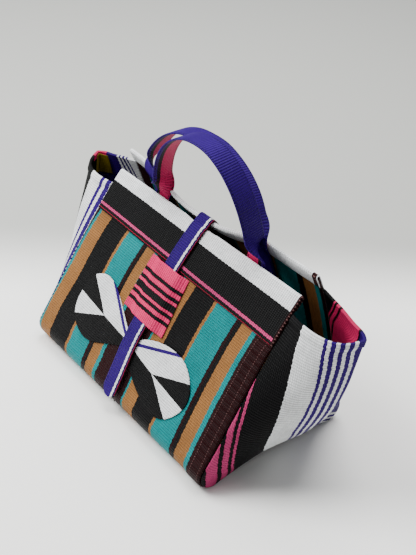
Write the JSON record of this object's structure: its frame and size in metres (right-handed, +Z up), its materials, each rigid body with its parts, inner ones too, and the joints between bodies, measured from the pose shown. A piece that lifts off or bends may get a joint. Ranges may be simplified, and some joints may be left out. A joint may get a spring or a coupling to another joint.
{
  "type": "handwoven tote bag",
  "caption": "Small striped woven tote that stands on its base, with folded-out side wings, strap handles, a closing tab through a keeper patch and a bow on the front.",
  "frame": {"origin": "middle of the base's flat underside, on the floor", "axes": "+X to the bag's right as seen from its front, from wing to wing, the longest extent; +Y from the front with the bow to the back; +Z up"},
  "size_m": [0.4338, 0.195, 0.2904],
  "materials": {
    "body_cloth": "matt ribbed weave, vertical tan, black, teal and maroon stripes",
    "wing_cloth": "matt ribbed weave, white, purple, black and pink stripes",
    "band_cloth": "matt ribbed weave, white rim, black band and pink lines",
    "handle_webbing": "matt doubled woven strap, purple outside, pink and black inside",
    "tab_webbing": "matt doubled woven strap, purple with a white line and a pink edge",
    "keeper_cloth": "matt ribbed weave, pink and black stripes",
    "bow_cloth": "matt ribbed weave, white and black fans with a purple line",
    "label_cloth": "matt mustard ribbon, bare"
  },
  "bodies": {
    "root": {"body_panel": "body_cloth", "gusset_right": "wing_cloth", "gusset_left": "wing_cloth", "front_band": "band_cloth", "back_band": "band_cloth", "front_handle": "handle_webbing", "back_handle": "handle_webbing", "closure_tab": "tab_webbing", "keeper_patch": "keeper_cloth", "bow_lobe_left": "bow_cloth", "bow_lobe_right": "bow_cloth", "label": "label_cloth"}
  },
  "joints": []
}
